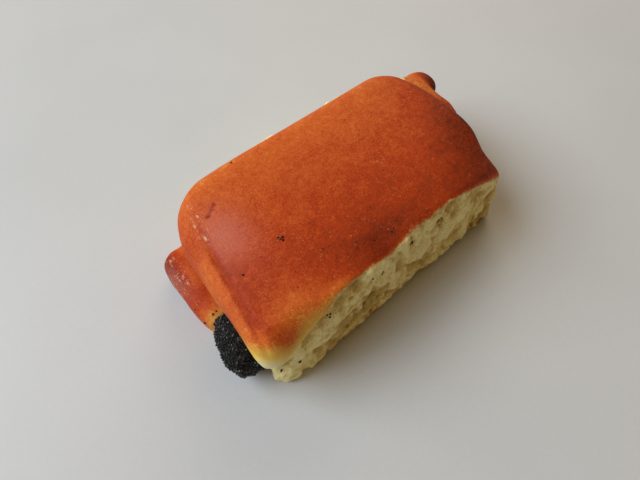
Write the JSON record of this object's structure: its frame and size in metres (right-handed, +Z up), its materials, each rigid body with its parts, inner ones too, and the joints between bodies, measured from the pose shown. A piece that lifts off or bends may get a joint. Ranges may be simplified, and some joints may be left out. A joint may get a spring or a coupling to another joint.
{
  "type": "poppy seed bun",
  "caption": "Glossy folded sweet bun with torn crumb sides, browned ends and dark poppy seed filling oozing from the slit at one end.",
  "frame": {"origin": "middle of the bounding box, on the flat underside", "axes": "+X along the bun, from the end with the filling to the far browned end; +Z up from the underside; the torn side with the wider view of the crumb faces -Y"},
  "size_m": [0.1226, 0.0642, 0.0365],
  "materials": {
    "baked_dough": "egg-washed orange-brown crust with a soft gloss, matt cream crumb where it was torn",
    "poppy_filling": "moist black poppy seed paste, grainy"
  },
  "bodies": {
    "root": {"bun_dough": "baked_dough", "poppy_seed_filling": "poppy_filling"}
  },
  "joints": []
}
